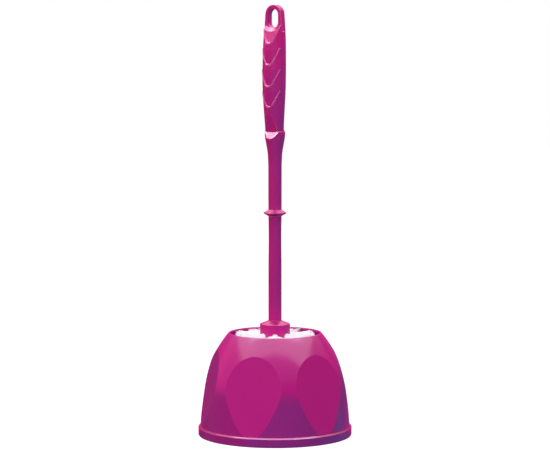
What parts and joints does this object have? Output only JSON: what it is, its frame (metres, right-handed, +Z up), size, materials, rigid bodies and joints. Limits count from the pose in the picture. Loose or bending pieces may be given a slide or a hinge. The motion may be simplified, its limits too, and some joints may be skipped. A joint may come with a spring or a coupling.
{
  "type": "toilet brush and holder",
  "caption": "Toilet brush with a moulded handle and hanging slot, standing in a bell-shaped holder with oval flats on a round tray.",
  "frame": {"origin": "centre of the tray's underside, on the floor", "axes": "+Z up along the brush, -Y towards the side that the handle's V-shaped ledges face"},
  "size_m": [0.1364, 0.1364, 0.38],
  "materials": {
    "holder_plastic": "glossy magenta polypropylene, injection moulded",
    "brush_plastic": "glossy magenta polypropylene, injection moulded",
    "bristle": "white crimped filament",
    "anchor_wire": "plain flat wire"
  },
  "bodies": {
    "tray": {"base_tray": "holder_plastic"},
    "bell": {"holder_bell": "holder_plastic"},
    "brush": {"brush_head": "brush_plastic", "tuft_anchors": "anchor_wire", "lower_stem": "brush_plastic", "handle": "brush_plastic", "bristle_row_1": "bristle", "bristle_row_2": "bristle", "bristle_row_3": "bristle", "bristle_row_4": "bristle", "bristle_row_5": "bristle", "bristle_row_6": "bristle", "bristle_row_7": "bristle", "bristle_row_8": "bristle"}
  },
  "joints": [
    {"name": "bell_lift", "type": "slide", "parent": "tray", "child": "bell", "axis": [0, 0, 1], "range_m": [0, 0.03]},
    {"name": "brush_lift", "type": "slide", "parent": "bell", "child": "brush", "axis": [0, 0, 1], "range_m": [0, 0.13]}
  ]
}
